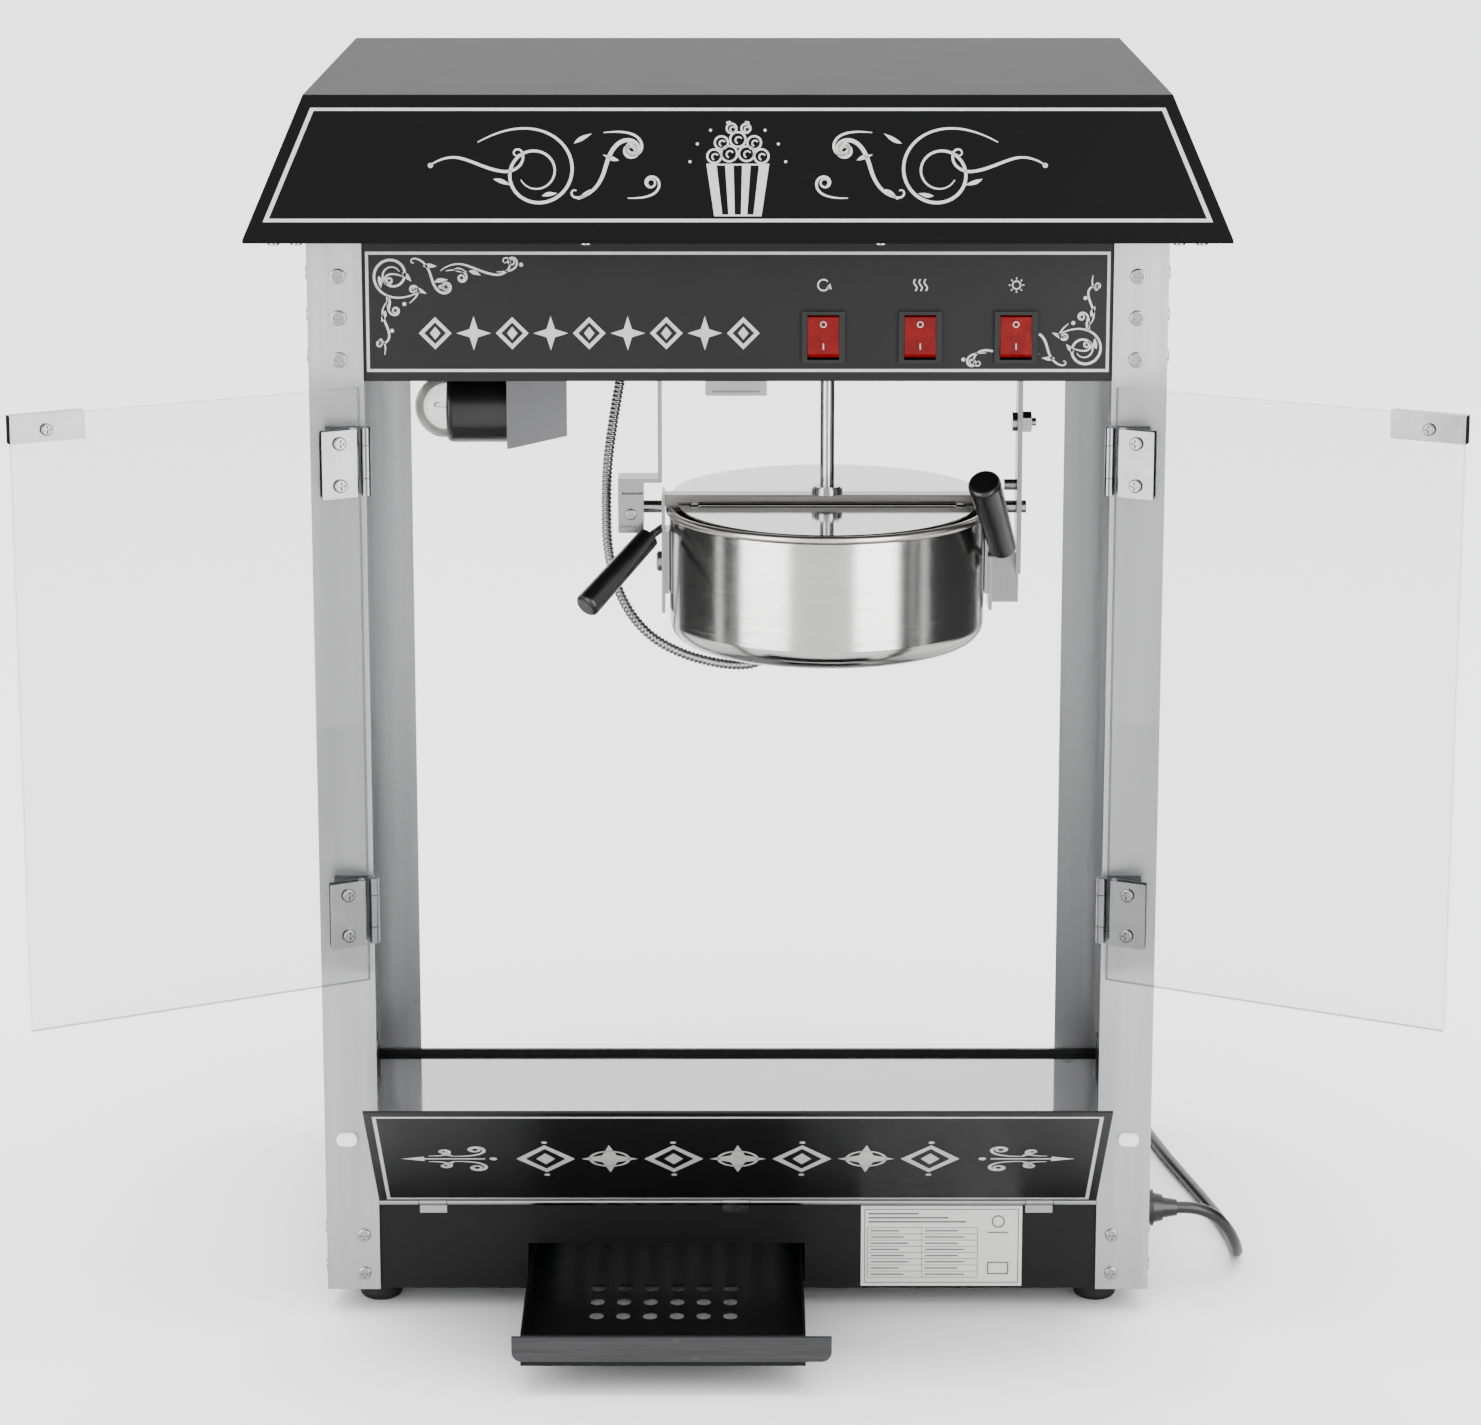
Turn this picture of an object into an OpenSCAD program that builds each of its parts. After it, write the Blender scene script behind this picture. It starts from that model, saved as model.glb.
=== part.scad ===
// Countertop popcorn machine: glazed cabinet with a tilting kettle, two glass
// doors, a fold-out serving flap and a kernel drawer in the base.
// Millimetres. X is the width, Y the depth (front is -Y), Z is up.
// The origin is on the table, under the middle of the whole machine.

/* [Body] */
// Width over the corner posts
body_w = 500; // [480:5:520]
// Depth over the corner posts
body_d = 360; // [340:5:380]
// Height of the rubber feet
foot_h = 15; // [12:1:18]
// Top of the base's rear panel
rim_z = 50; // [48:1:54]
// Top of the base's side panels
side_z = 62; // [62:1:66]
// Top of the base's front panel
front_z = 71; // [68:1:73]
// Bottom of the header box
head_z = 576; // [576:1:590]
// Top of the posts and of the header box
post_top = 661.5; // [655:0.5:670]
// Width of one flange of a corner post
post_w = 32; // [28:1:34]
// Thickness of the corner posts
post_t = 2; // [1.5:0.5:2]
// Sheet thickness of the painted panels
sheet = 1.5; // [1.2:0.1:1.5]

/* [Roof] */
// Top of the roof
roof_z = 743; // [720:1:770]
// Overhang of the roof's lower edge past the posts
roof_over = 33; // [20:1:40]

/* [Doors] */
// Width of one door glass
door_w = 215; // [214:0.5:215]
// Height of the door glass
door_h = 359; // [340:1:360]
// Lower edge of the door glass
door_z = 215; // [214:1:216]
// Thickness of the door glass
door_t = 4; // [3:0.5:4]
// Angle the doors stand open from closed
door_open = 152; // [90:1:160]

/* [Flap] */
// Height of the serving flap
flap_h = 139; // [120:1:139]
// Angle the flap stands out from upright
flap_open = 48; // [20:1:60]

/* [Drawer] */
// Middle of the drawer across the machine
drawer_x = -43.5; // [-50:0.5:-40]
// Width of the drawer pan
drawer_w = 166; // [150:1:168]
// Length of the drawer pan
drawer_l = 260; // [240:5:270]
// Distance the drawer stands open
drawer_out = 130; // [0:5:150]

/* [Kettle] */
// Middle of the kettle across the machine
kettle_x = 56; // [50:1:56]
// Outside diameter of the kettle shell
kettle_d = 198; // [196:1:201]
// Height of the tilting axis
pivot_z = 466; // [464:1:468]
// Diameter of the pivot pins
pin_d = 8; // [6:0.5:8]
// Diameter of the stirrer shaft
rod_d = 9; // [8:0.5:9]

/* [Cord] */
// Diameter of the mains cord
cord_d = 7.4; // [6.5:0.1:7.6]
// Outer diameter of the kettle's flexible conduit
conduit_d = 6.6; // [5:0.2:7]

/* [Hidden] */
$fn = 48;
hw = body_w / 2;                   // half width
hd = body_d / 2;                   // half depth
drawer_front_t = 2.5;
// Depth offset that puts the origin midway between the drawer's front and the roof's rear edge
inner = hw - post_t;               // inner face of the posts' side flanges
innd = hd - post_t;                // inner face of the posts' front flanges
yc = ((innd + drawer_out + drawer_front_t) - (hd + roof_over)) / 2;
hinge_y = -(hd + 6);               // door hinge axis
ax = hw - 33;                      // door hinge axis across
flap_y = -(innd + 3);              // flap hinge axis
flap_z = front_z + 1;
flap_w = 435;
tray_z = 45;
switch_x = [49.7, 106, 161.7];
switch_z = 602;
rocker_y = -(innd - 4);
drawer_z = 18;
R = kettle_d / 2;
shell_z = 382;
rim_top = 467;
lamp_y = -60;
lamp_z = 540.5;
coil_c = [130, 241];
coil_r = 36;
// Mains cord: out of the gland, down to the table, along the right side and round the back
cord_path = [[269, -130, 49], [284, -129, 48], [296, -126, 42], [305, -120, 31],
    [311, -110, 18], [314, -97, 8], [315, -82, 4], [314, -60, 4], [310, -28, 4],
    [304, 5, 4], [297, 40, 4], [289, 80, 4], [282, 120, 4], [275, 160, 4],
    [266, 200, 4], [250, 236, 4], [226, 262, 4], [195, 275, 4], [163, 278, 4], [134, 277, 4]];
// Flexible conduit: from the header down beside the kettle and under it to the heater
conduit_path = [[-71, 14, 576], [-73, 14, 550], [-78, 15, 520], [-82, 16, 490],
    [-83, 17, 460], [-82, 18, 435], [-77, 18, 412], [-68, 18, 393], [-54, 16, 378],
    [-34, 12, 368], [-12, 8, 363], [5, 4, 363], [15, 1, 367], [19, 0, 373]];

// ---------- helpers ----------
// Box between two corners
module bx(a, b) { translate(a) cube([b[0] - a[0], b[1] - a[1], b[2] - a[2]]); }
// Cylinder along X from x0 to x1 at y, z
module cx(x0, x1, y, z, r) { translate([x0, y, z]) rotate([0, 90, 0]) cylinder(h = x1 - x0, r = r); }
// Cylinder along Y from y0 to y1 at x, z
module cy(y0, y1, x, z, r) { translate([x, y0, z]) rotate([-90, 0, 0]) cylinder(h = y1 - y0, r = r); }
// Cylinder along Z
module cz(z0, z1, x, y, r) { translate([x, y, z0]) cylinder(h = z1 - z0, r = r); }
// Rod from point a to point b
module rod(a, b, r) {
    d = b - a;
    l = norm(d);
    translate(a) rotate([0, acos(d[2] / l), atan2(d[1], d[0])]) cylinder(h = l, r = r);
}
// Half profile of a cup with a rounded lower corner
module cup2d(r, z0, z1, rc) {
    translate([0, z0]) square([r - rc, z1 - z0]);
    translate([0, z0 + rc]) square([r, z1 - z0 - rc]);
    intersection() {
        translate([r - rc, z0 + rc]) circle(r = rc);
        translate([0, z0]) square([r, rc + 1]);
    }
}
// Smooth points between p1 and p2 on a Catmull-Rom curve
function cr(p0, p1, p2, p3, t) = 0.5 * (2 * p1 + (p2 - p0) * t
    + (2 * p0 - 5 * p1 + 4 * p2 - p3) * t * t + (3 * p1 - p0 - 3 * p2 + p3) * t * t * t);
function smooth(p, k) = let (n = len(p)) concat([for (i = [0:n - 2], j = [0:k - 1])
    cr(p[max(i - 1, 0)], p[i], p[i + 1], p[min(i + 2, n - 1)], j / k)], [p[n - 1]]);
function unit(v) = v / norm(v);
function tangent(p, i) = unit(p[min(i + 1, len(p) - 1)] - p[max(i - 1, 0)]);
// Round tube along the points p; up is a direction the tube never runs along
module tube(p, r, n, up) {
    m = len(p);
    pts = [for (i = [0:m - 1]) let (t = tangent(p, i), s = unit(cross(t, up)), u = cross(s, t))
        for (j = [0:n - 1]) p[i] + r * (cos(j * 360 / n) * s + sin(j * 360 / n) * u)];
    polyhedron(points = pts, faces = concat(
        [[for (j = [0:n - 1]) j]],
        [[for (j = [0:n - 1]) (m - 1) * n + n - 1 - j]],
        [for (i = [0:m - 2], j = [0:n - 1])
            [i * n + j, (i + 1) * n + j, (i + 1) * n + (j + 1) % n, i * n + (j + 1) % n]]),
        convexity = 6);
}
// Pan-head screw, its head standing along +Z from the origin
module screw(d, h) {
    difference() {
        rotate_extrude() {
            square([d / 2, h * 0.55]);
            square([d / 2 - h * 0.45, h]);
            intersection() { translate([d / 2 - h * 0.45, h * 0.55]) circle(r = h * 0.45); square([d, h]); }
        }
        for (a = [0, 90]) rotate([0, 0, a]) translate([-d * 0.3, -d * 0.07, h * 0.5]) cube([d * 0.6, d * 0.14, h]);
    }
}

// ---------- base ----------
module base_front_panel() color([0.13, 0.13, 0.13]) translate([0, yc, 0]) difference() {
    bx([-inner, -innd, foot_h], [inner, -innd + sheet, front_z]);
    // opening for the drawer
    bx([drawer_x - drawer_w / 2 - 1.3, -innd - 1, foot_h - 1], [drawer_x + drawer_w / 2 + 1.3, -innd + sheet + 1, 44]);
}
module base_side_panels() color([0.13, 0.13, 0.13]) translate([0, yc, 0]) difference() {
    for (s = [-1, 1]) mirror([s < 0 ? 1 : 0, 0, 0])
        bx([inner - sheet, -innd + sheet, foot_h], [inner, innd - sheet, side_z]);
    // cable entry
    cx(inner - 5, inner + 5, -130, 49, 6);
}
module base_rear_panel() color([0.13, 0.13, 0.13]) translate([0, yc, 0])
    bx([-inner, innd - sheet, foot_h], [inner, innd, rim_z]);
module base_bottom_pan() color([0.13, 0.13, 0.13]) translate([0, yc, 0])
    bx([-inner + sheet, -innd + sheet, foot_h], [inner - sheet, innd - sheet, foot_h + sheet]);
module rubber_feet() color([0.06, 0.06, 0.06]) translate([0, yc, 0])
    for (x = [-1, 1], y = [-1, 1]) translate([x * (hw - 30), y * (hd - 30), 0]) rotate_extrude() {
        square([10, foot_h]);
        translate([0, 4]) square([13, foot_h - 4]);
        intersection() { translate([9, 4]) circle(r = 4); square([13, 5]); }
    }
module floor_tray() color([0.78, 0.78, 0.78]) translate([0, yc, 0]) difference() {
    union() {
        bx([-inner + sheet, -innd + sheet, tray_z], [inner - sheet, innd - sheet, tray_z + 1.2]);
        bx([-inner + sheet, -innd + sheet, tray_z], [inner - sheet, -innd + sheet + 1.2, front_z + 1]);
    }
    // way for the wiring in the front right corner
    bx([inner - sheet - 15, -innd + sheet - 1, tray_z - 1], [inner, -innd + sheet + 15, front_z + 5]);
    // sieve over the drawer for kernels that did not pop
    for (i = [0:8], j = [0:5]) cz(tray_z - 1, tray_z + 3, drawer_x - 64 + 16 * i, -150 + 20 * j, 4);
}
module drawer_runners() color([0.6, 0.6, 0.6]) translate([0, yc, 0]) for (s = [-1, 1])
    translate([drawer_x, 0, 0]) mirror([s < 0 ? 1 : 0, 0, 0]) {
        bx([drawer_w / 2 + 1.4, -innd + sheet + 0.5, foot_h + sheet], [drawer_w / 2 + 2.6, 150, 40]);
        bx([drawer_w / 2 - 8, -innd + sheet + 0.5, foot_h + sheet], [drawer_w / 2 + 2, 150, foot_h + sheet + 1.1]);
    }
module rating_label() color([0.85, 0.85, 0.83]) translate([0, yc, 0])
    bx([75, -innd - 0.4, 16.5], [173, -innd, 68]);

// ---------- drawer ----------
module drawer_pan() color([0.15, 0.15, 0.15]) translate([drawer_x, yc - innd - drawer_out, drawer_z]) difference() {
    bx([-drawer_w / 2, 0, 0], [drawer_w / 2, drawer_l, 19]);
    bx([-drawer_w / 2 + 1.2, 1.2, 1.2], [drawer_w / 2 - 1.2, drawer_l - 1.2, 30]);
    // three rows of six air slots
    for (i = [0:5], j = [0:2]) translate([-41 + 16 * i, 75 + 22.5 * j, 0]) {
        cz(-1, 3, 0, -2, 4.2);
        cz(-1, 3, 0, 2, 4.2);
        bx([-4.2, -2, -1], [4.2, 2, 3]);
    }
}
module drawer_front() color([0.3, 0.3, 0.3]) translate([drawer_x + 5, yc - innd - drawer_out, 0]) {
    difference() {
        bx([-93, -drawer_front_t, 21.5], [93, 0, 36.5]);
        for (s = [-1, 1]) difference() {
            bx([s > 0 ? 87 : -94, -5, 20], [s > 0 ? 94 : -87, 1, 27.5]);
            cy(-6, 2, s * 87, 27.5, 6);
        }
    }
}

// ---------- posts and glazing ----------
// Angle profile with its outer corner at the origin, flanges along +X and +Y
module post(x, y, sx, sy) translate([x, y, foot_h]) mirror([sx < 0 ? 1 : 0, 0, 0]) mirror([0, sy < 0 ? 1 : 0, 0])
    linear_extrude(post_top - foot_h) {
        square([post_w, post_t]);
        square([post_t, post_w]);
    }
module front_posts() color([0.8, 0.8, 0.8]) translate([0, yc, 0]) {
    post(-hw, -hd, 1, 1);
    post(hw, -hd, -1, 1);
}
module rear_posts() color([0.8, 0.8, 0.8]) translate([0, yc, 0]) {
    post(-hw, hd, 1, -1);
    post(hw, hd, -1, -1);
}
module side_glasses() color([0.85, 0.95, 0.95, 0.3]) translate([0, yc, 0]) for (s = [-1, 1])
    mirror([s < 0 ? 1 : 0, 0, 0]) bx([inner - 3, -innd + 20, side_z], [inner, innd - 3.2, head_z]);
module rear_glass() color([0.85, 0.95, 0.95, 0.3]) translate([0, yc, 0])
    bx([-inner + 3.2, innd - 3, rim_z], [inner - 3.2, innd, head_z]);

// ---------- header ----------
module control_panel() color([0.18, 0.18, 0.18]) translate([0, yc, 0]) difference() {
    bx([-inner, -innd, head_z], [inner, -innd + sheet, post_top]);
    for (x = switch_x) bx([x - 11, -innd - 1, switch_z - 14], [x + 11, -innd + sheet + 1, switch_z + 14]);
}
module header_side_panels() color([0.13, 0.13, 0.13]) translate([0, yc, 0]) for (s = [-1, 1])
    mirror([s < 0 ? 1 : 0, 0, 0]) bx([inner - sheet, -innd + sheet, head_z], [inner, innd - sheet, post_top]);
module header_rear_panel() color([0.13, 0.13, 0.13]) translate([0, yc, 0]) difference() {
    bx([-inner, innd - sheet, head_z], [inner, innd, post_top]);
    for (i = [-4:4]) bx([i * 14 - 3, innd - 5, head_z + 25], [i * 14 + 3, innd + 5, head_z + 60]);
}
module ceiling_plate() color([0.13, 0.13, 0.13]) translate([0, yc, 0]) difference() {
    bx([-inner + sheet, -innd + sheet, head_z], [inner - sheet, innd - sheet, head_z + sheet]);
    cz(head_z - 1, head_z + 5, kettle_x, 0, 9);
    cz(head_z - 1, head_z + 5, -71, 14, 5);
    bx([inner - sheet - 15, -innd, head_z - 1], [inner, -innd + sheet + 15, head_z + 5]);
}
module roof() color([0.17, 0.17, 0.17]) translate([0, yc, 0]) difference() {
    hull() {
        bx([-hw - roof_over, -hd - roof_over, post_top], [hw + roof_over, hd + roof_over, post_top + 2]);
        bx([-hw, -hd, roof_z - 0.01], [hw, hd, roof_z]);
    }
    hull() {
        bx([-hw - roof_over + 1.5, -hd - roof_over + 1.5, post_top + 1.5], [hw + roof_over - 1.5, hd + roof_over - 1.5, post_top + 2]);
        bx([-hw + 1, -hd + 1, roof_z - 1.2], [hw - 1, hd - 1, roof_z - 1.19]);
    }
    // open middle of the lip that sits on the posts
    bx([-hw + 20, -hd + 20, post_top - 1], [hw - 20, hd - 20, post_top + 3]);
}
module case_screws() color([0.75, 0.75, 0.75]) translate([0, yc, 0]) {
    // through the posts, front, rear and sides
    for (s = [-1, 1]) {
        for (z = [589, 613.5, 638]) {
            translate([s * (hw - 18), -hd, z]) rotate([90, 0, 0]) screw(9, 2);
            translate([s * (hw - 18), hd, z]) rotate([-90, 0, 0]) screw(9, 2);
            for (t = [-1, 1]) translate([s * hw, t * (hd - 16), z]) rotate([0, s * 90, 0]) screw(9, 2);
        }
        for (z = [25.5, 50]) {
            translate([s * (hw - 22.5), -hd, z]) rotate([90, 0, 0]) screw(8, 2);
            translate([s * (hw - 22.5), hd, z]) rotate([-90, 0, 0]) screw(8, 2);
            for (t = [-1, 1]) translate([s * hw, t * (hd - 16), z]) rotate([0, s * 90, 0]) screw(8, 2);
        }
    }
    // under the roof's lip
    for (x = [-266, -253, -87, 82, 253, 266], t = [-1, 1])
        translate([x, t * (hd + 24), post_top]) rotate([180, 0, 0]) screw(7, 2);
}
module switch_bezels() color([0.07, 0.07, 0.07]) translate([0, yc, 0]) for (x = switch_x) difference() {
    union() {
        bx([x - 12.5, -innd - 2, switch_z - 15.25], [x + 12.5, -innd, switch_z + 15.25]);
        bx([x - 10.9, -innd, switch_z - 13.9], [x + 10.9, -innd + 20, switch_z + 13.9]);
    }
    // well that the rocker turns in
    bx([x - 9.3, -innd - 5, switch_z - 13.2], [x + 9.3, -innd + 14, switch_z + 13.2]);
    // seat of the rocker's trunnion
    cx(x - 10.05, x + 10.05, rocker_y, switch_z, 1.55);
    // terminals' pocket
    bx([x - 6, -innd + 16, switch_z - 10], [x + 6, -innd + 25, switch_z + 10]);
}
// Rocker of a switch, leaning with its upper half pressed
module rocker(x) color([0.8, 0.02, 0.05]) translate([x, yc + rocker_y, switch_z]) rotate([-10, 0, 0]) union() {
    intersection() {
        cx(-9.1, 9.1, 0, 0, 12.9);
        rotate([90, 0, 90]) linear_extrude(18.2, center = true)
            polygon([[-7.6, 12.5], [-5.4, 0], [-7.6, -12.5], [3, -12.5], [5.5, -4], [9, -4], [9, 4], [5.5, 4], [3, 12.5]]);
    }
    cx(-10, 10, 0, 0, 1.5);
}
module motor_rocker() rocker(switch_x[0]);
module heat_rocker() rocker(switch_x[1]);
module light_rocker() rocker(switch_x[2]);
module gear_motor() color([0.55, 0.55, 0.55]) translate([kettle_x, yc, 0]) difference() {
    union() {
        bx([-38, -28, head_z + sheet], [38, 28, head_z + sheet + 30]);
        bx([-48, -20, head_z + sheet], [48, 20, head_z + sheet + 3]);
        cz(head_z + sheet + 30, head_z + sheet + 72, 10, 0, 26);
        cz(head_z + sheet + 72, head_z + sheet + 78, 10, 0, 12);
    }
    cz(head_z, head_z + sheet + 24, 0, 0, rod_d / 2 + 0.05);
}
module drive_shaft() color([0.7, 0.7, 0.7]) translate([kettle_x, yc, 0]) difference() {
    cz(pivot_z + 84, head_z + sheet + 23, 0, 0, rod_d / 2);
    // slot that drives the stirrer, open to the front and rear
    bx([-2.2, -10, pivot_z + 80], [2.2, 10, pivot_z + 92]);
}
module lamp_bracket() color([0.5, 0.5, 0.5]) translate([0, yc + lamp_y, 0]) {
    difference() {
        bx([-140, -25, lamp_z - 22], [-138.5, 25, head_z]);
        cx(-145, -130, 0, lamp_z, 5);
    }
    translate([-138.5, -25, 0]) rotate([90, 0, 0]) mirror([0, 0, 1]) linear_extrude(1.5)
        polygon([[0, lamp_z - 22], [35, lamp_z - 14], [35, head_z], [0, head_z]]);
    bx([-138.5, -25, head_z - 1.5], [-103.5, 25, head_z]);
}
module lamp_socket() color([0.08, 0.08, 0.08]) translate([0, yc + lamp_y, lamp_z]) difference() {
    translate([-140, 0, 0]) rotate([0, -90, 0]) rotate_extrude() difference() {
        union() {
            square([22, 33]);
            square([17, 38]);
            intersection() { translate([17, 33]) circle(r = 5); square([22, 38]); }
        }
        translate([0, 14]) square([20, 40]);
        square([7.3, 40]);
    }
}
module lamp_bulb() color([0.95, 0.93, 0.85, 0.6]) translate([-178, yc + lamp_y, lamp_z]) rotate([0, 90, 0]) rotate_extrude() {
    intersection() { circle(r = 19.3); translate([0, -20]) square([20, 40]); }
    translate([0, 10]) square([7, 27]);
}
module door_catch() color([0.75, 0.75, 0.75]) translate([-1, yc - innd + sheet + 0.5, 0]) difference() {
    bx([-18, 0, head_z - 9], [18, 16, head_z]);
    bx([-14, -1, head_z - 7], [14, 3, head_z - 3]);
}
module wiring_loom() color([0.1, 0.1, 0.1]) translate([0, yc, 0]) {
    // up the front right corner, hidden by the post
    cz(30, 625, inner - 9, -innd + 9, 3);
    translate([inner - 9, -innd + 9, 625]) sphere(r = 3);
    translate([inner - 9, -innd + 9, 30]) sphere(r = 3);
    // along the header to the switches
    cx(30, inner - 9, -innd + 9, 625, 3);
    translate([30, -innd + 9, 625]) sphere(r = 3);
    // along the base to the terminal block
    cy(-innd + 9, -142, inner - 9, 30, 3);
    bx([inner - 19, -142, foot_h + sheet], [inner - 3, -100, 36]);
}

// ---------- kettle hangers ----------
module left_hanger() color([0.7, 0.7, 0.7]) translate([0, yc, 0]) difference() {
    union() {
        // strip from the ceiling, its top turned flat
        bx([-50, -10, pivot_z + 19], [-47.5, 10, head_z]);
        bx([-50, -10, head_z - 2], [-30, 10, head_z]);
        // arm across to the bearing block
        bx([-75, -10, pivot_z + 17], [-47.5, 10, pivot_z + 19.5]);
        // bearing block
        bx([-75, -10, pivot_z - 15], [-59, 10, pivot_z + 17]);
    }
    cx(-80, -50, 0, pivot_z, pin_d / 2 + 0.05);
    // saw cuts of the clamped block
    bx([-76, -11, pivot_z - 11.5], [-61.5, 11, pivot_z - 9.5]);
    bx([-72.5, -11, pivot_z + 9.5], [-58, 11, pivot_z + 11]);
}
module right_hanger() color([0.7, 0.7, 0.7]) translate([0, yc, 0]) difference() {
    union() {
        bx([174.6, -11, pivot_z - 41], [177.6, 11, head_z]);
        bx([157, -11, head_z - 2], [177.6, 11, head_z]);
        // stop pin
        cx(167, 175, 0, pivot_z + 14, 3.5);
    }
    cx(170, 180, 0, pivot_z, pin_d / 2 + 0.05);
}
module hanger_bolts() color([0.75, 0.75, 0.75]) translate([0, yc, 0]) {
    // bolt and nut through the right strip
    translate([177.6, 0, pivot_z + 54]) rotate([0, 90, 0]) cylinder(h = 6, r = 6.5, $fn = 6);
    translate([171.6, 0, pivot_z + 54]) rotate([0, 90, 0]) cylinder(h = 3, r = 6);
    cx(183.6, 186.6, 0, pivot_z + 54, 2.5);
    // screw that clamps the bearing block
    translate([-67, -10, pivot_z - 3]) rotate([90, 0, 0]) screw(7, 2);
}

// ---------- kettle ----------
module kettle_shell() color([0.75, 0.75, 0.75]) translate([kettle_x, yc, 0]) union() {
    rotate_extrude($fn = 96) difference() {
        cup2d(R, shell_z, 461.8, 13);
        cup2d(R - 1.2, shell_z + 1.2, 480, 11.8);
    }
    cz(shell_z - 8, shell_z, -35, -30, 4);
    // entry of the heater's conduit
    cz(shell_z - 5, shell_z, -34, 0, 6);
}
module kettle_pan() color([0.3, 0.3, 0.3]) translate([kettle_x, yc, 0]) rotate_extrude($fn = 96) {
    difference() {
        cup2d(R - 2.3, shell_z + 12, rim_top - 2, 19.2);
        cup2d(R - 3.5, shell_z + 13.2, 480, 18);
    }
    translate([R - 0.2, rim_top - 2.5]) circle(r = 2.5);
}
module heating_element() color([0.45, 0.4, 0.38]) translate([kettle_x, yc, shell_z + 6.6]) {
    rotate_extrude($fn = 96) translate([55, 0]) circle(r = 3.6);
    rotate_extrude($fn = 96) translate([32, 0]) circle(r = 3.6);
}
module crossbar() color([0.4, 0.4, 0.4]) translate([kettle_x, yc, 0]) difference() {
    bx([-R - 2.7, -6, pivot_z - 5], [R + 2.7, 6, pivot_z + 8.6]);
    // seats over the kettle's rim
    for (s = [-1, 1]) bx([s > 0 ? R - 4 : -R - 3, -8, pivot_z - 6], [s > 0 ? R + 3 : -R + 4, 8, rim_top + 0.1]);
    cz(pivot_z - 10, pivot_z + 20, 0, 0, 5.4);
}
module shaft_bushing() color([0.6, 0.6, 0.6]) translate([kettle_x, yc, 0]) difference() {
    union() {
        cz(pivot_z - 9, pivot_z + 8.6, 0, 0, 5.4);
        cz(pivot_z + 8.6, pivot_z + 12.6, 0, 0, 9.8);
        cz(pivot_z + 12.6, pivot_z + 13.4, 0, 0, 8.6);
    }
    cz(pivot_z - 20, pivot_z + 20, 0, 0, rod_d / 2 + 0.05);
}
module rear_lid() color([0.8, 0.8, 0.8]) translate([kettle_x, yc, 0]) difference() {
    union() {
        cz(pivot_z + 7.2, pivot_z + 8.4, 0, 0, R - 1.5);
        difference() { cz(rim_top + 0.1, pivot_z + 7.5, 0, 0, R - 1.5); cz(rim_top - 5, pivot_z + 12, 0, 0, R - 2.7); }
    }
    bx([-R - 5, -R - 5, 400], [R + 5, 6, 500]);
}
// Front half of the lid, resting in the kettle's mouth
module front_lid() color([0.8, 0.8, 0.8]) translate([kettle_x, yc - 9.5, pivot_z + 2]) rotate([1.2, 0, 0]) {
    difference() {
        translate([0, 9.5, -0.6]) cylinder(h = 1.2, r = R - 5.3);
        bx([-R - 5, 0, -50], [R + 5, R + 20, 50]);
        bx([-R - 5, -1, -50], [R + 5, 1, 50]);
        // clear of the two ears
        for (s = [-1, 1]) bx([s * 83 - 3.5, -5, -50], [s * 83 + 3.5, 2, 50]);
    }
    // curled hinge edge
    difference() { cx(-80, 80, 0, 0, 2); cx(-81, 81, 0, 0, 1.05); }
}
module pivot_pins() color([0.7, 0.7, 0.7]) translate([0, yc, 0]) {
    cx(-74, kettle_x - R - 4.7, 0, pivot_z, pin_d / 2);
    cx(kettle_x + R + 4.7, 181, 0, pivot_z, pin_d / 2);
    // hinge rod of the front lid, held by two ears on the crossbar
    cx(kettle_x - 84, kettle_x + 84, -9.5, pivot_z + 2, 1);
    for (s = [-1, 1]) bx([kettle_x + s * 83 - 2, -10.5, pivot_z], [kettle_x + s * 83 + 2, -6, pivot_z + 4]);
}
module kettle_brackets() color([0.6, 0.6, 0.6]) translate([0, yc, 0]) {
    // left strap
    bx([kettle_x - R - 4.7, -12, 400], [kettle_x - R - 2.7, 12, pivot_z + 10]);
    bx([kettle_x - R - 2.7, -10, 412], [kettle_x - R - 0.1, 10, 452]);
    // arm that carries the left grip
    rod([-47.5, -8, 454], [-56, -20, 450], 2.6);
    translate([-56, -20, 450]) sphere(r = 3.1);
    translate([kettle_x - R - 4.7, 0, 431]) rotate([0, -90, 0]) screw(13, 3.5);
    // right strap with the plate that stops against the hanger
    bx([kettle_x + R + 2.7, -12, 402], [kettle_x + R + 4.7, 13.5, pivot_z + 10]);
    bx([kettle_x + R + 0.1, -10, 412], [kettle_x + R + 2.7, 10, 452]);
    bx([kettle_x + R + 4.7, 11.5, 402], [177.6, 13.5, 434]);
    rod([kettle_x + R + 3.7, -8, 437], [165, -30, 446], 2.6);
    translate([165, -30, 446]) sphere(r = 3.1);
}
module kettle_grips() color([0.05, 0.05, 0.05]) translate([0, yc, 0]) {
    grip([-56, -20, 450], [-94, -63, 415], 7, 8);
    grip([165, -30, 446], [150, -75, 496], 8.4, 10.2);
}
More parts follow.
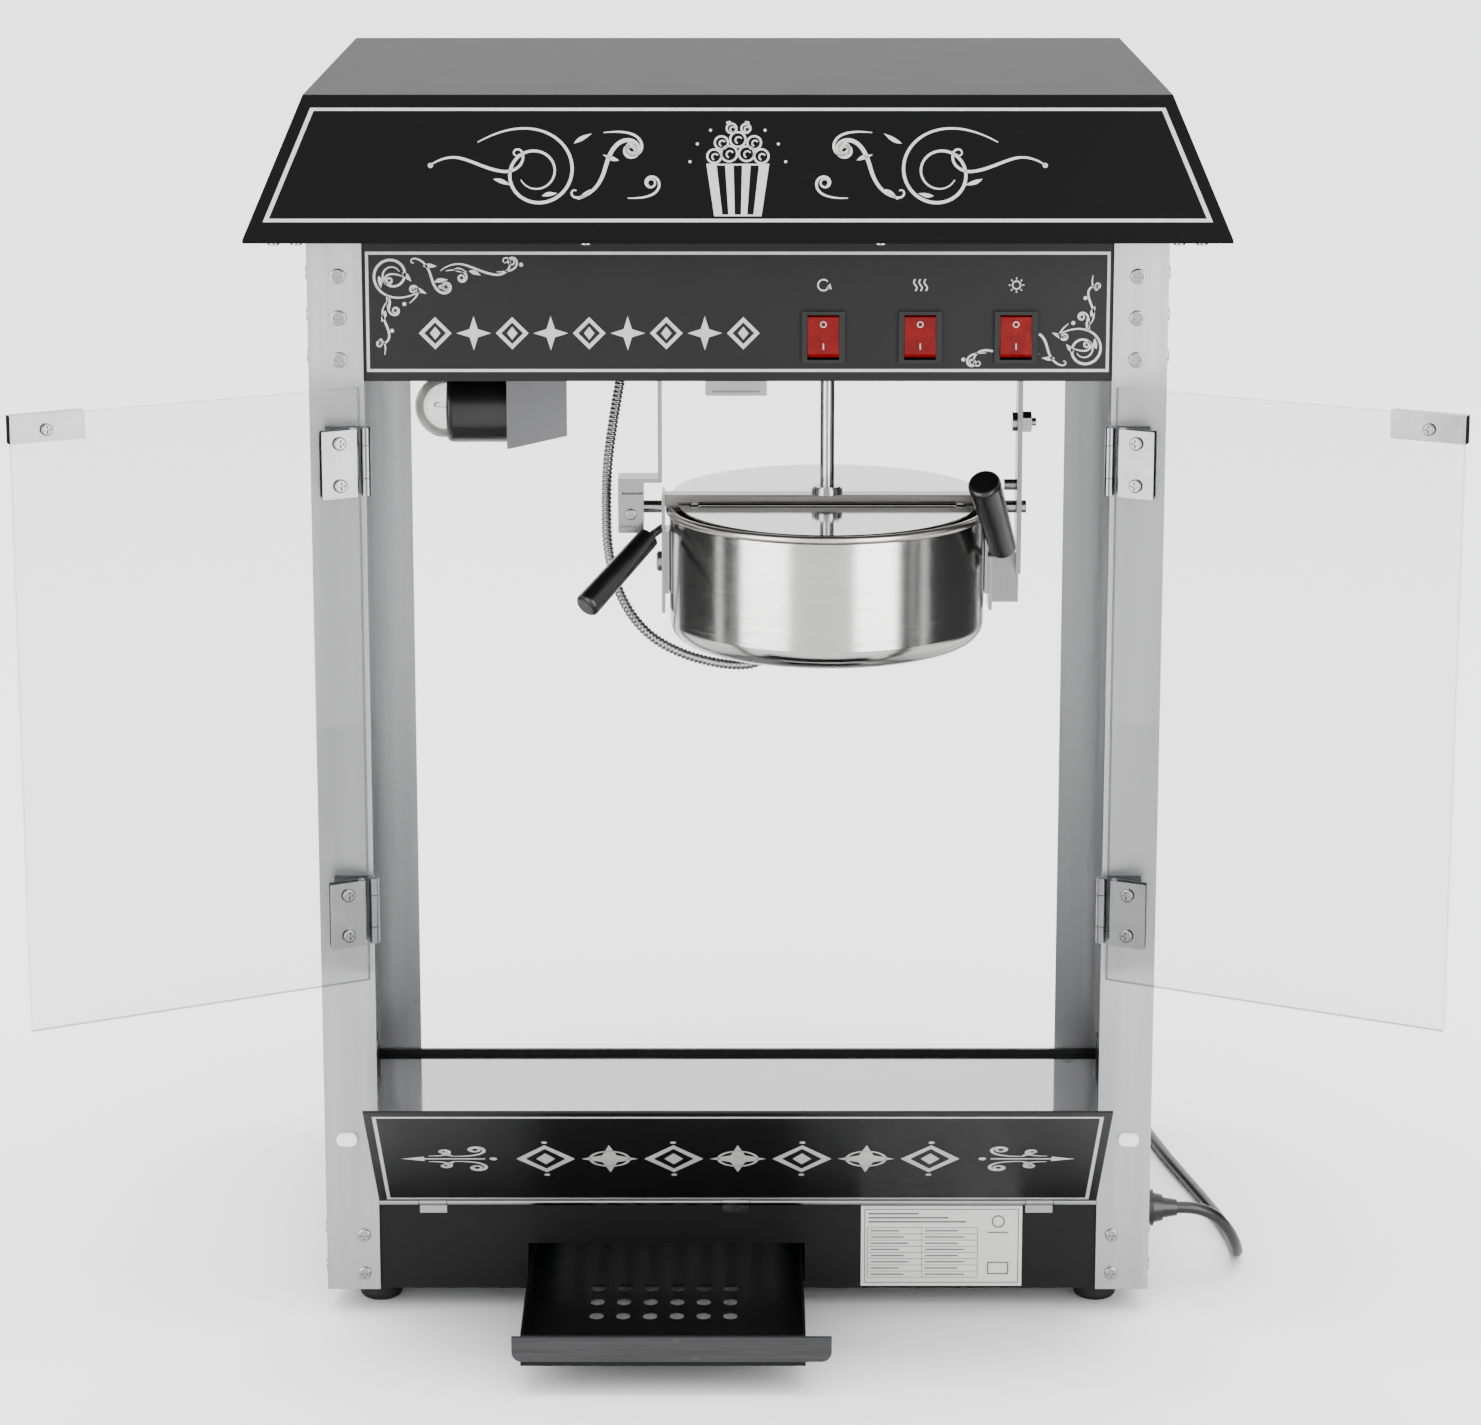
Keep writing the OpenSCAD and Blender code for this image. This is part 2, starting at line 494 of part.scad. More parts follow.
// Grip from a to b with radii r1 and r2 and a rounded end
module grip(a, b, r1, r2) {
    d = b - a;
    l = norm(d);
    translate(a) rotate([0, acos(d[2] / l), atan2(d[1], d[0])]) rotate_extrude() {
        polygon([[0, 0], [r1, 0], [r2, l - 3], [0, l - 3]]);
        square([r2 - 3, l]);
        intersection() { translate([r2 - 3, l - 3]) circle(r = 3); translate([0, l - 3.2]) square([r2, 4]); }
    }
}
module agitator() color([0.7, 0.7, 0.7]) translate([kettle_x, yc, 0]) {
    cz(397, pivot_z + 82, 0, 0, rod_d / 2);
    // tongue that enters the drive shaft's slot
    intersection() {
        bx([-2, -6, pivot_z + 81], [2, 6, pivot_z + 90]);
        cz(pivot_z + 80, pivot_z + 95, 0, 0, rod_d / 2);
    }
    // hub and two stirring blades
    cz(397, 410, 0, 0, 8);
    bx([-78, -2, 397], [78, 2, 404]);
    bx([-78, -2, 397], [-74, 2, 425]);
    bx([-3, -60, 397.5], [3, 60, 401]);
}
module kettle_conduit() color([0.6, 0.6, 0.6]) translate([0, yc, 0])
    tube(smooth(conduit_path, 3), conduit_d / 2, 10, [0, 1, 0]);

// ---------- doors ----------
// Places a door drawn closed, with its hinge axis at x = 0; s is -1 for the left door
module place_door(s) translate([s * ax, yc + hinge_y, 0]) mirror([s > 0 ? 1 : 0, 0, 0]) rotate([0, 0, -door_open]) children();
module door_glass() bx([4, -door_t / 2, door_z], [door_w, door_t / 2, door_z + door_h]);
module door_fittings() {
    for (z = [257.5, 530]) {
        difference() {
            union() {
                // leaf on the outside of the glass, with the middle knuckle
                bx([5, -door_t / 2 - 1.2, z - 20], [28, -door_t / 2, z + 20]);
                bx([0, -door_t / 2 - 1.2, z - 9.5], [6, -door_t / 2, z + 9.5]);
                cz(z - 9.5, z + 9.5, 0, 0, 3);
            }
            cz(z - 12, z + 12, 0, 0, 1.55);
        }
        // clamp plate inside, and its two screws
        bx([7, door_t / 2, z - 20], [29, door_t / 2 + 1.4, z + 20]);
        for (t = [-1, 1]) translate([18, door_t / 2 + 1.4, z + 12.5 * t]) rotate([-90, 0, 0]) screw(8, 2);
    }
    // clip on the free upper corner, the plate for the magnetic catch
    difference() {
        bx([door_w - 43, -door_t / 2 - 1.2, door_z + door_h - 15], [door_w + 1.2, door_t / 2 + 1.2, door_z + door_h + 1.2]);
        bx([door_w - 44, -door_t / 2, door_z + door_h - 16], [door_w, door_t / 2, door_z + door_h]);
    }
    translate([door_w - 20, door_t / 2 + 1.2, door_z + door_h - 8]) rotate([-90, 0, 0]) screw(7, 2);
}
module left_door_glass() color([0.85, 0.95, 0.95, 0.3]) place_door(-1) door_glass();
module right_door_glass() color([0.85, 0.95, 0.95, 0.3]) place_door(1) door_glass();
module left_door_fittings() color([0.75, 0.75, 0.75]) place_door(-1) door_fittings();
module right_door_fittings() color([0.75, 0.75, 0.75]) place_door(1) door_fittings();
module door_hinge_leaves() color([0.75, 0.75, 0.75]) translate([0, yc, 0]) for (s = [-1, 1], z = [257.5, 530])
    mirror([s > 0 ? 1 : 0, 0, 0]) difference() {
        union() {
            bx([-hw + 9, -hd - 1.2, z - 20], [-ax - 2, -hd, z + 20]);
            for (t = [-1, 1]) translate([0, 0, z + 15 * t]) {
                bx([-ax - 3, hinge_y, -5], [-ax - 1.6, -hd, 5]);
                cz(-5, 5, -ax, hinge_y, 3);
            }
        }
        cz(z - 25, z + 25, -ax, hinge_y, 1.5);
    }
module hinge_pins() color([0.8, 0.8, 0.8]) translate([0, yc, 0]) {
    for (s = [-1, 1], z = [257.5, 530]) cz(z - 20.5, z + 20.5, s * ax, hinge_y, 1.5);
    cx(-flap_w / 2, flap_w / 2, flap_y, flap_z, 1.2);
}

// ---------- flap ----------
lug_x = [-185, -1.3, 183];
module place_flap() translate([0, yc + flap_y, flap_z]) rotate([flap_open, 0, 0]) children();
module flap_panel() color([0.13, 0.13, 0.13]) place_flap() difference() {
    bx([-flap_w / 2, -0.75, 1], [flap_w / 2, 0.75, flap_h]);
    cx(-300, 300, 0, 0, 2.5);
    for (x = lug_x) cx(x - 9.2, x + 9.2, 0, 0, 3.2);
}
module flap_hinge_barrel() color([0.85, 0.85, 0.85]) place_flap() for (i = [0:3])
    let (a = i == 0 ? -flap_w / 2 : lug_x[i - 1] + 8.8, b = i == 3 ? flap_w / 2 : lug_x[i] - 8.8)
        difference() { cx(a, b, 0, 0, 2.5); cx(a - 1, b + 1, 0, 0, 1.25); }
module flap_hinge_lugs() color([0.8, 0.8, 0.8]) translate([0, yc, 0]) for (x = lug_x) difference() {
    union() {
        bx([x - 8.2, -innd - 1.2, flap_z - 8], [x + 8.2, -innd, flap_z]);
        cx(x - 8.2, x + 8.2, flap_y, flap_z, 2.5);
    }
    cx(x - 10, x + 10, flap_y, flap_z, 1.2);
}
module flap_bumpers() color([0.95, 0.95, 0.95]) translate([0, yc, 0]) for (s = [-1, 1]) {
    for (t = [-1, 1]) cy(-hd - 4, -hd, s * 236.5 + t * 2.6, 111.7, 3.6);
    bx([s * 236.5 - 2.6, -hd - 4, 108.1], [s * 236.5 + 2.6, -hd, 115.3]);
}

// ---------- mains cord ----------
module cable_gland() color([0.08, 0.08, 0.08]) translate([inner, yc - 130, 49]) {
    rotate([0, 90, 0]) rotate_extrude() difference() {
        union() {
            square([11.3, 9]);
            polygon([[0, 9], [9.5, 9], [8, 15], [0, 15]]);
            polygon([[0, 15], [6.5, 15], [5, 24], [0, 24]]);
        }
        translate([0, 20]) square([cord_d / 2, 5]);
    }
}
module power_cord() color([0.06, 0.06, 0.06]) translate([0, yc, 0])
    tube(smooth(cord_path, 3), cord_d / 2, 8, [0, 0, 1]);
module cord_coil() color([0.06, 0.06, 0.06]) translate([coil_c[0], coil_c[1] + yc, 0.3])
    rotate_extrude() translate([coil_r - cord_d, 0]) square([2 * cord_d, 2 * cord_d]);
module power_plug() color([0.06, 0.06, 0.06]) translate([150, coil_c[1] + yc - coil_r - 4, 18.4]) rotate([0, 90, 0]) {
    rotate_extrude() {
        polygon([[0, 0], [5, 0], [6.5, 16], [0, 16]]);
        polygon([[0, 14], [9, 14], [17, 24], [18, 30], [18, 48], [17, 50], [0, 50]]);
    }
    for (t = [-1, 1]) translate([0, 9.5 * t, 50]) cylinder(h = 19, r = 2.4);
}

base_front_panel();
base_side_panels();
base_rear_panel();
base_bottom_pan();
rubber_feet();
floor_tray();
front_posts();
rear_posts();
side_glasses();
rear_glass();
control_panel();
header_side_panels();
header_rear_panel();
ceiling_plate();
roof();
case_screws();
switch_bezels();
gear_motor();
lamp_bracket();
lamp_socket();
lamp_bulb();
door_catch();
left_hanger();
right_hanger();
hanger_bolts();
door_hinge_leaves();
hinge_pins();
flap_hinge_lugs();
flap_bumpers();
drawer_runners();
rating_label();
cable_gland();
power_cord();
cord_coil();
power_plug();
wiring_loom();
kettle_conduit();
drive_shaft();
kettle_shell();
kettle_pan();
heating_element();
crossbar();
rear_lid();
shaft_bushing();
pivot_pins();
kettle_grips();
kettle_brackets();
front_lid();
agitator();
left_door_glass();
left_door_fittings();
right_door_glass();
right_door_fittings();
flap_panel();
flap_hinge_barrel();
drawer_pan();
drawer_front();
motor_rocker();
heat_rocker();
light_rocker();
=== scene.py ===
import bpy
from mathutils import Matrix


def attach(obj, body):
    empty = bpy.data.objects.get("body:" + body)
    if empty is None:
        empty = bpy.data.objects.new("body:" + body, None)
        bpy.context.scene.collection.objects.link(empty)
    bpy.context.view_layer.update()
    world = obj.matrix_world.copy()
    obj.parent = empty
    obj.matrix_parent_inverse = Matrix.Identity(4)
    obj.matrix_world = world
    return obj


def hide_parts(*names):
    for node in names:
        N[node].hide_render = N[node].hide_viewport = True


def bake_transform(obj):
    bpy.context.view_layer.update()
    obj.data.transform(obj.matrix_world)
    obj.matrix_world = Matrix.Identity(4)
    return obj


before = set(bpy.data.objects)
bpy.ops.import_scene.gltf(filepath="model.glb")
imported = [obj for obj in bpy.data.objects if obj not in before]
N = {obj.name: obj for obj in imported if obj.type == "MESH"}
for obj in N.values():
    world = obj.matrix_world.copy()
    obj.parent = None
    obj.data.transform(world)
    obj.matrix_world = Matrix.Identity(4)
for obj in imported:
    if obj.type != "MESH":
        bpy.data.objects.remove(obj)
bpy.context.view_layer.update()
import bpy, math, random
from mathutils import Vector

random.seed(7)
YC = 48.75  # depth offset of the body in the row frame, mm


def P(x, y, z):
    """Body millimetres to row metres."""
    return Vector((x / 1000, (y + YC) / 1000, z / 1000))


# ---------------------------------------------------------------- camera
cam_data = bpy.data.cameras.new("camera")
cam_data.sensor_width = 36
cam_data.lens = 105.7
cam_data.shift_x = 0.0018
cam_data.shift_y = -0.08
cam = bpy.data.objects.new("camera", cam_data)
bpy.context.scene.collection.objects.link(cam)
cam.location = P(0, -2680, 1001.6)
cam.rotation_euler = (math.pi / 2 - 0.2174, 0, 0)
bpy.context.scene.camera = cam


# ---------------------------------------------------------------- helpers
def smooth(pts, k):
    out, n = [], len(pts)
    for i in range(n - 1):
        p0, p1, p2, p3 = pts[max(i - 1, 0)], pts[i], pts[i + 1], pts[min(i + 2, n - 1)]
        for j in range(k):
            t = j / k
            out.append(0.5 * (2 * p1 + (p2 - p0) * t + (2 * p0 - 5 * p1 + 4 * p2 - p3) * t * t
                              + (3 * p1 - p0 - 3 * p2 + p3) * t ** 3))
    out.append(pts[-1].copy())
    return out


def evenly(pts, step):
    """The same line in steps of one length."""
    d = [0.0]
    for a, b in zip(pts, pts[1:]):
        d.append(d[-1] + (b - a).length)
    n = max(2, int(d[-1] / step))
    out, i = [], 0
    for k in range(n + 1):
        s = d[-1] * k / n
        while i < len(d) - 2 and d[i + 1] < s:
            i += 1
        t = (s - d[i]) / max(d[i + 1] - d[i], 1e-9)
        out.append(pts[i].lerp(pts[i + 1], t))
    return out


def piece(name, verts, faces, mat, body, shade=False):
    me = bpy.data.meshes.new(name)
    me.from_pydata([tuple(v) for v in verts], [], faces)
    me.validate()
    me.update()
    if shade:
        for p in me.polygons:
            p.use_smooth = True
    o = bpy.data.objects.new(name, me)
    bpy.context.scene.collection.objects.link(o)
    me.materials.append(mat)
    if body:
        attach(o, body)
    return o


def tube_mesh(path, radius, sides):
    """Rings round a line; radius is a function of the ring's number."""
    verts, faces = [], []
    n = len(path)
    side = None
    for i, p in enumerate(path):
        t = (path[min(i + 1, n - 1)] - path[max(i - 1, 0)]).normalized()
        if side is None:
            side = t.orthogonal().normalized()
        side = (side - t * side.dot(t)).normalized()
        up = t.cross(side)
        r = radius(i)
        for j in range(sides):
            a = 2 * math.pi * j / sides
            verts.append(p + side * (r * math.cos(a)) + up * (r * math.sin(a)))
    for i in range(n - 1):
        for j in range(sides):
            k = (j + 1) % sides
            faces.append((i * sides + j, i * sides + k, (i + 1) * sides + k, (i + 1) * sides + j))
    faces.append(tuple(range(sides - 1, -1, -1)))
    faces.append(tuple((n - 1) * sides + j for j in range(sides)))
    return verts, faces


# ---------------------------------------------------------------- materials
def material(name, col, rough, metal=0.0, var=0.12, rvar=0.05, scale=9.0, stretch=(1, 1, 1),
             bump=0.05, bscale=700.0, bstretch=None, scuff=0.0, coat=0.0, spec=0.5, alpha=1.0, aniso=0.0,
             emit=None):
    m = bpy.data.materials.new(name)
    m.use_nodes = True
    nt = m.node_tree
    bsdf = nt.nodes["Principled BSDF"]
    L = nt.links.new
    tc = nt.nodes.new("ShaderNodeTexCoord")
    mp = nt.nodes.new("ShaderNodeMapping")
    mp.inputs["Scale"].default_value = stretch
    L(tc.outputs["Object"], mp.inputs["Vector"])
    n1 = nt.nodes.new("ShaderNodeTexNoise")
    n1.inputs["Scale"].default_value = scale
    n1.inputs["Detail"].default_value = 5
    L(mp.outputs["Vector"], n1.inputs["Vector"])
    ramp = nt.nodes.new("ShaderNodeValToRGB")
    ramp.color_ramp.elements[0].position = 0.3
    ramp.color_ramp.elements[1].position = 0.7
    ramp.color_ramp.elements[0].color = tuple(c * (1 - var) for c in col) + (1,)
    ramp.color_ramp.elements[1].color = tuple(min(1, c * (1 + var)) for c in col) + (1,)
    L(n1.outputs["Fac"], ramp.inputs["Fac"])
    colour = ramp.outputs["Color"]
    if scuff:
        # fine rubbed marks
        mp3 = nt.nodes.new("ShaderNodeMapping")
        mp3.inputs["Scale"].default_value = (22, 22, 90)
        mp3.inputs["Rotation"].default_value = (0.4, 0.3, 0.2)
        L(tc.outputs["Object"], mp3.inputs["Vector"])
        n4 = nt.nodes.new("ShaderNodeTexNoise")
        n4.inputs["Scale"].default_value = 3.0
        n4.inputs["Detail"].default_value = 8
        L(mp3.outputs["Vector"], n4.inputs["Vector"])
        r4 = nt.nodes.new("ShaderNodeValToRGB")
        r4.color_ramp.elements[0].position = 0.66
        r4.color_ramp.elements[1].position = 0.74
        r4.color_ramp.elements[1].color = (scuff, scuff, scuff, 1)
        L(n4.outputs["Fac"], r4.inputs["Fac"])
        mix = nt.nodes.new("ShaderNodeMixRGB")
        mix.blend_type = "ADD"
        mix.inputs["Fac"].default_value = 1.0
        L(colour, mix.inputs["Color1"])
        L(r4.outputs["Color"], mix.inputs["Color2"])
        colour = mix.outputs["Color"]
    L(colour, bsdf.inputs["Base Color"])
    n2 = nt.nodes.new("ShaderNodeTexNoise")
    n2.inputs["Scale"].default_value = scale * 3.1
    n2.inputs["Detail"].default_value = 6
    L(mp.outputs["Vector"], n2.inputs["Vector"])
    mr = nt.nodes.new("ShaderNodeMapRange")
    mr.inputs["From Min"].default_value = 0.3
    mr.inputs["From Max"].default_value = 0.7
    mr.inputs["To Min"].default_value = max(0.01, rough - rvar)
    mr.inputs["To Max"].default_value = rough + rvar
    L(n2.outputs["Fac"], mr.inputs["Value"])
    L(mr.outputs["Result"], bsdf.inputs["Roughness"])
    if bump:
        mp2 = nt.nodes.new("ShaderNodeMapping")
        mp2.inputs["Scale"].default_value = bstretch or (1, 1, 1)
        L(tc.outputs["Object"], mp2.inputs["Vector"])
        n3 = nt.nodes.new("ShaderNodeTexNoise")
        n3.inputs["Scale"].default_value = bscale
        n3.inputs["Detail"].default_value = 3
        L(mp2.outputs["Vector"], n3.inputs["Vector"])
        b = nt.nodes.new("ShaderNodeBump")
        b.inputs["Strength"].default_value = bump
        b.inputs["Distance"].default_value = 0.0004
        L(n3.outputs["Fac"], b.inputs["Height"])
        L(b.outputs["Normal"], bsdf.inputs["Normal"])
    bsdf.inputs["Metallic"].default_value = metal
    bsdf.inputs["Specular IOR Level"].default_value = spec
    bsdf.inputs["Coat Weight"].default_value = coat
    bsdf.inputs["Coat Roughness"].default_value = 0.08
    bsdf.inputs["Anisotropic"].default_value = aniso
    bsdf.inputs["Alpha"].default_value = alpha
    if emit:
        bsdf.inputs["Emission Color"].default_value = emit + (1,)
        bsdf.inputs["Emission Strength"].default_value = 0.25
    m.diffuse_color = tuple(col) + (alpha,)
    return m


M = {
    "black": material("black_sheet", (0.0035, 0.0035, 0.0037), 0.4, spec=0.12, rvar=0.02, scuff=0.001, bump=0.12, bscale=1500),
    "roof": material("roof_paint", (0.0045, 0.0045, 0.0048), 0.42, spec=0.015, var=0.04, rvar=0.006, scuff=0.001, bump=0.1, bscale=1500),
    "panel": material("panel_paint", (0.006, 0.006, 0.0064), 0.4, spec=0.12, rvar=0.02, scuff=0.001, bump=0.1, bscale=1500),
    "drawer": material("drawer_paint", (0.02, 0.02, 0.021), 0.34, spec=0.3, stretch=(2, 60, 60), var=0.3, scuff=0.01),
    "alu": material("post_aluminium", (0.28, 0.28, 0.285), 0.32, 0.9, var=0.1, scale=2.0, stretch=(60, 60, 2),
                    bump=0.04, bscale=3.0, bstretch=(400, 400, 4), rvar=0.03),
    "tray": material("tray_steel", (0.34, 0.34, 0.345), 0.08, 1.0, var=0.04, rvar=0.03, scale=4, bump=0.02, bscale=900),
    "kettle": material("kettle_steel", (0.29, 0.287, 0.283), 0.15, 1.0, var=0.06, rvar=0.03, scale=3,
                       stretch=(2, 2, 90), bump=0.14, bscale=4.0, bstretch=(3, 3, 420), aniso=0.5),
    "pan": material("pan_steel", (0.32, 0.31, 0.3), 0.3, 1.0, var=0.12, scale=14, bump=0.1),
    "bar": material("crossbar_steel", (0.12, 0.118, 0.115), 0.26, 1.0, var=0.14, stretch=(2, 90, 90), bump=0.2,
                    bscale=4.0, bstretch=(3, 400, 400)),
    "lid": material("lid_steel", (0.36, 0.36, 0.355), 0.08, 1.0, var=0.04, rvar=0.03, stretch=(2, 40, 2), bump=0.03,
                    bscale=4.0, bstretch=(4, 300, 4)),
    "bracket": material("bracket_steel", (0.19, 0.19, 0.19), 0.28, 1.0, var=0.04, rvar=0.015, stretch=(30, 30, 2), bump=0.05),
    "lampplate": material("lamp_plate", (0.1, 0.1, 0.103), 0.4, 0.5, spec=0.2, var=0.15, bump=0.08),
    "bright": material("bright_steel", (0.23, 0.23, 0.234), 0.16, 1.0, var=0.07, rvar=0.04, scale=60, bump=0.05),
    "fitting": material("fitting_steel", (0.12, 0.12, 0.123), 0.18, 1.0, var=0.1, rvar=0.03, scale=60, bump=0.04),
    "shaft": material("shaft_steel", (0.22, 0.22, 0.22), 0.14, 1.0, var=0.08, stretch=(40, 40, 4), bump=0.05),
    "heater": material("heater_sheath", (0.3, 0.26, 0.23), 0.45, 1.0, var=0.3, scale=20, bump=0.2),
    "conduit": material("conduit_steel", (0.18, 0.18, 0.18), 0.3, 1.0, var=0.15, scale=50, bump=0.05),
    "plastic": material("black_plastic", (0.004, 0.004, 0.004), 0.3, var=0.2, bump=0.08, bscale=1200, spec=0.3),
    "bezel": material("bezel_plastic", (0.003, 0.003, 0.003), 0.22, var=0.2, bump=0.04, spec=0.25),
    "rocker": material("rocker_plastic", (0.13, 0.0, 0.0006), 0.25, var=0.25, scale=120, bump=0.03, spec=0.12),
    "white": material("white_plastic", (0.85, 0.85, 0.85), 0.45, var=0.04, bump=0.05),
    "label": material("label_film", (0.5, 0.5, 0.49), 0.32, var=0.03, bump=0.02, coat=0.2),
    "rubber": material("foot_rubber", (0.005, 0.005, 0.005), 0.6, spec=0.2, var=0.3, bump=0.2, bscale=900),
    "pvc": material("cable_pvc", (0.005, 0.005, 0.005), 0.34, var=0.2, bump=0.06, spec=0.3),
    "print": material("print_silver", (0.36, 0.36, 0.355), 0.42, 0.1, var=0.08, scale=120, bump=0.0, rvar=0.06),
    "ink": material("print_grey", (0.08, 0.08, 0.08), 0.5, var=0.1, scale=120, bump=0.0),
    "tungsten": material("filament_wire", (0.5, 0.48, 0.45), 0.3, 1.0, var=0.1, bump=0.0),
}


def glass(name, col, alpha, edge):
    """Clear pane: almost see-through on its faces, denser where the edge is seen."""
    m = bpy.data.materials.new(name)
    m.use_nodes = True
    nt = m.node_tree
    L = nt.links.new
    b = nt.nodes["Principled BSDF"]
    tc = nt.nodes.new("ShaderNodeTexCoord")
    n = nt.nodes.new("ShaderNodeTexNoise")
    n.inputs["Scale"].default_value = 6
    n.inputs["Detail"].default_value = 6
    L(tc.outputs["Object"], n.inputs["Vector"])
    r = nt.nodes.new("ShaderNodeMapRange")
    r.inputs["From Min"].default_value = 0.3
    r.inputs["From Max"].default_value = 0.7
    r.inputs["To Min"].default_value = 0.02
    r.inputs["To Max"].default_value = 0.05
    L(n.outputs["Fac"], r.inputs["Value"])
    L(r.outputs["Result"], b.inputs["Roughness"])
    lw = nt.nodes.new("ShaderNodeFresnel")
    lw.inputs["IOR"].default_value = 1.35
    mr = nt.nodes.new("ShaderNodeMapRange")
    mr.inputs["From Min"].default_value = 0.0
    mr.inputs["From Max"].default_value = 0.5
    mr.inputs["To Min"].default_value = alpha
    mr.inputs["To Max"].default_value = edge
    L(lw.outputs["Fac"], mr.inputs["Value"])
    L(mr.outputs["Result"], b.inputs["Alpha"])
    ramp = nt.nodes.new("ShaderNodeValToRGB")
    ramp.color_ramp.elements[0].color = tuple(c * 0.96 for c in col) + (1,)
    ramp.color_ramp.elements[1].color = tuple(col) + (1,)
    L(n.outputs["Fac"], ramp.inputs["Fac"])
    L(ramp.outputs["Color"], b.inputs["Base Color"])
    b.inputs["Specular IOR Level"].default_value = 0.4
    m.diffuse_color = tuple(col) + (alpha,)
    return m


M["door_glass"] = glass("door_glass", (0.1, 0.105, 0.105), 0.06, 0.7)
M["pane_glass"] = glass("pane_glass", (0.3, 0.305, 0.305), 0.015, 0.3)
M["bulb"] = glass("bulb_glass", (0.45, 0.45, 0.44), 0.3, 1.0)

USE = {
    "black": ["base_front_panel", "base_side_panels", "base_rear_panel", "base_bottom_pan", "header_side_panels",
              "header_rear_panel", "ceiling_plate", "flap_panel", "drawer_pan"],
    "roof": ["roof"], "panel": ["control_panel"], "drawer": ["drawer_front"],
    "alu": ["front_posts", "rear_posts"], "tray": ["floor_tray"], "kettle": ["kettle_shell"],
    "pan": ["kettle_pan"], "bar": ["crossbar"], "lid": ["rear_lid", "front_lid"],
    "bracket": ["left_hanger", "right_hanger", "kettle_brackets", "drawer_runners", "gear_motor"],
    "lampplate": ["lamp_bracket"],
    "fitting": ["door_hinge_leaves", "hinge_pins", "left_door_fittings", "right_door_fittings"],
    "bright": ["case_screws", "hanger_bolts", "flap_hinge_barrel", "flap_hinge_lugs", "pivot_pins", "shaft_bushing",
               "door_catch"],
    "shaft": ["drive_shaft", "agitator"], "heater": ["heating_element"],
    "plastic": ["kettle_grips", "lamp_socket", "cable_gland", "power_plug"], "bezel": ["switch_bezels"],
    "rocker": ["motor_rocker", "heat_rocker", "light_rocker"], "white": ["flap_bumpers"],
    "label": ["rating_label"], "rubber": ["rubber_feet"], "pvc": ["wiring_loom", "power_cord", "cord_coil"],
    "conduit": ["kettle_conduit"], "door_glass": ["left_door_glass", "right_door_glass"],
    "pane_glass": ["side_glasses", "rear_glass"], "bulb": ["lamp_bulb"],
}
for key, names in USE.items():
    for n in names:
        o = N[n]
        o.data.materials.clear()
        o.data.materials.append(M[key])
for n, w in (("control_panel", 0.0004), ("flap_panel", 0.0004), ("roof", 0.0007), ("front_posts", 0.0005),
             ("rear_posts", 0.0005), ("base_front_panel", 0.0004), ("drawer_front", 0.0006),
             ("drawer_pan", 0.0003), ("rating_label", 0.0001), ("switch_bezels", 0.0004),
             ("motor_rocker", 0.0006), ("heat_rocker", 0.0006), ("light_rocker", 0.0006)):
    b = N[n].modifiers.new("edges", "BEVEL")
    b.width = w
    b.segments = 2
    b.limit_method = "ANGLE"
    b.angle_limit = math.radians(35)
    b.harden_normals = False

# ---------------------------------------------------------------- mains cord
CORD_D = 7.4
route = [(269, -130, 49), (284, -129, 48), (296, -126, 42), (305, -120, 31), (311, -110, 18), (314, -97, 8),
         (315, -82, 4), (314, -60, 4), (310, -28, 4), (304, 5, 4), (297, 40, 4), (289, 80, 4), (282, 120, 4),
         (275, 160, 4), (266, 200, 4), (250, 236, 4), (226, 263, 4), (195, 277, 4), (163, 281, 4),
         (130, 280.4, 4)]
pts = evenly(smooth([P(*r) for r in route], 8), 0.004)
# the coil: outer ring, inner ring, then the same two on top of them
cc = (130, 241)


def ring(a0, a1, r0, r1, z0, z1, k=None):
    k = k or max(3, int(abs(a1 - a0) / 6))
    out = []
    for i in range(1, k + 1):
        t = i / k
        s = t * t * (3 - 2 * t)
        a = math.radians(a0 + (a1 - a0) * t)
        r = r0 + (r1 - r0) * s
        out.append(P(cc[0] + r * math.cos(a), cc[1] + r * math.sin(a), z0 + (z1 - z0) * s))
    return out


ro, ri, zb, zt = 39.4, 31.8, 4.2, 11.7
coil = ring(90, 375, ro, ro, 4, zb) + ring(375, 425, ro, ri, zb, zb) + ring(425, 730, ri, ri, zb, zb) \
    + ring(730, 785, ri, ri, zb, zt) + ring(785, 1090, ri, ri, zt, zt) + ring(1090, 1140, ri, ro, zt, zt) \
    + ring(1140, 1348, ro, ro, zt, zt)
tail = [P(133, 201.5, 12.2), P(140, 201.2, 14.5), P(146, 201, 17), P(152, 201, 18.3), P(158, 201, 18.4)]
line = pts + coil + tail
cu = bpy.data.curves.new("mains_cord", "CURVE")
cu.dimensions = "3D"
sp = cu.splines.new("POLY")
sp.points.add(len(line) - 1)
for q, p in zip(sp.points, line):
    q.co = (p.x, p.y, p.z, 1)
cu.bevel_depth = CORD_D / 2000
cu.bevel_resolution = 5
cu.use_fill_caps = True
sp.use_smooth = True
cu.materials.append(M["pvc"])
cord = bpy.data.objects.new("mains_cord", cu)
bpy.context.scene.collection.objects.link(cord)
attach(cord, "cabinet")
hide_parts("power_cord", "cord_coil")

